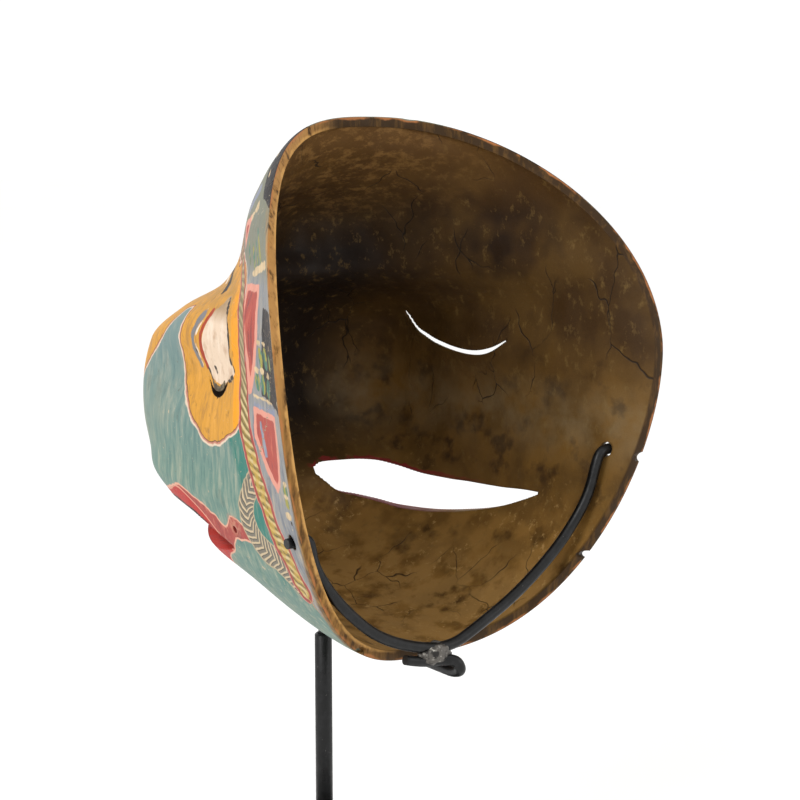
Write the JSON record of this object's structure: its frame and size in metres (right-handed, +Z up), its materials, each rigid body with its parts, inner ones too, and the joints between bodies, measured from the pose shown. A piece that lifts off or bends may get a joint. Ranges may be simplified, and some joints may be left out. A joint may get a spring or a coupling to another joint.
{
  "type": "carved mask on stand",
  "caption": "Deep carved and painted wooden face mask with slit eyes and a wide open mouth, hung by its cord holes on a bent steel display stand with a square base.",
  "frame": {"origin": "centre of the lower face of the felt under the base", "axes": "+Z up, the face looks towards -Y, +X is the wearer's left"},
  "size_m": [0.2256, 0.2287, 0.4098],
  "materials": {
    "painted_wood": "hand painted outside, bare dark wood inside",
    "black_steel": "matte black",
    "braze": "dull",
    "zinc": "zinc plated",
    "felt": "pressed felt"
  },
  "bodies": {
    "stand": {"post_tube": "black_steel", "base_plate": "black_steel", "base_screw": "zinc", "base_felt": "felt"},
    "hanger": {"cross_rod": "black_steel", "arm_rod": "black_steel", "weld_bead": "braze"},
    "mask": {"mask_shell": "painted_wood"}
  },
  "joints": [
    {"name": "stem_swivel", "type": "hinge", "parent": "stand", "child": "hanger", "pos_m": [0, -0.02, 0.14], "axis": [0, 0, 1], "continuous": true},
    {"name": "mask_rock", "type": "hinge", "parent": "hanger", "child": "mask", "pos_m": [0, 0.095, 0.2345], "axis": [-0.9935, 0, 0.1142], "range_deg": [0, 18]}
  ]
}
